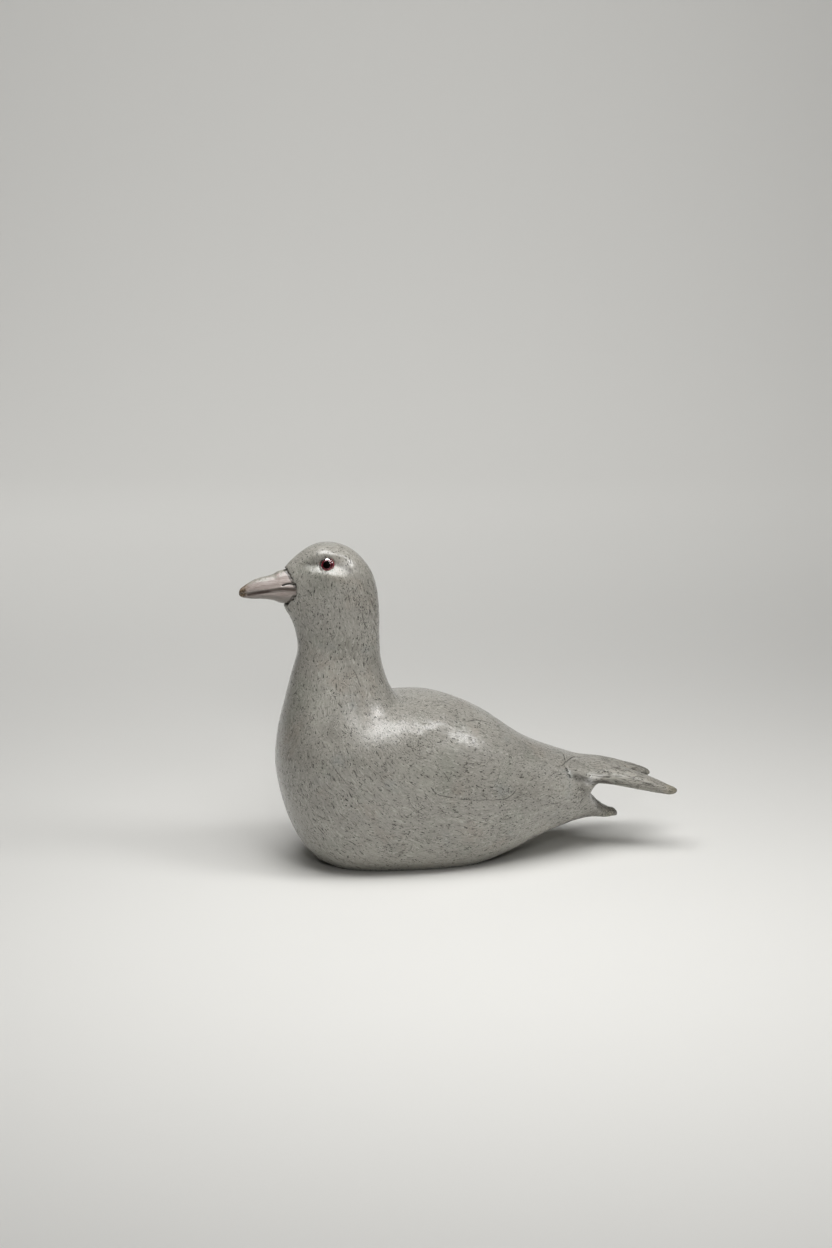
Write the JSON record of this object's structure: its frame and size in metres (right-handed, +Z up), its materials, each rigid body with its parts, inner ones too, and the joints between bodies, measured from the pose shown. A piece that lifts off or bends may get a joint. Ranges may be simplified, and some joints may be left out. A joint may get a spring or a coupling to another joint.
{
  "type": "carved seagull statue",
  "caption": "Carved gull figure resting on its flat belly, neck upright, with forked wing tips over a pointed tail, an inset bill and glass eyes.",
  "frame": {"origin": "on the ground, under the middle of the figure's length and width", "axes": "+Z up, -X the way the gull looks, -Y its left side"},
  "size_m": [0.34, 0.126, 0.2522],
  "materials": {
    "limed_wood": "grey limed wood, polished, dark wax in pits and checks",
    "bill_horn_paint": "pinkish horn colour, smooth, semi-gloss",
    "crimson_glass": "glossy crimson glass with a dark pupil"
  },
  "bodies": {
    "root": {"gull_carving": "limed_wood", "bill": "bill_horn_paint", "left_eye": "crimson_glass", "right_eye": "crimson_glass"}
  },
  "joints": []
}
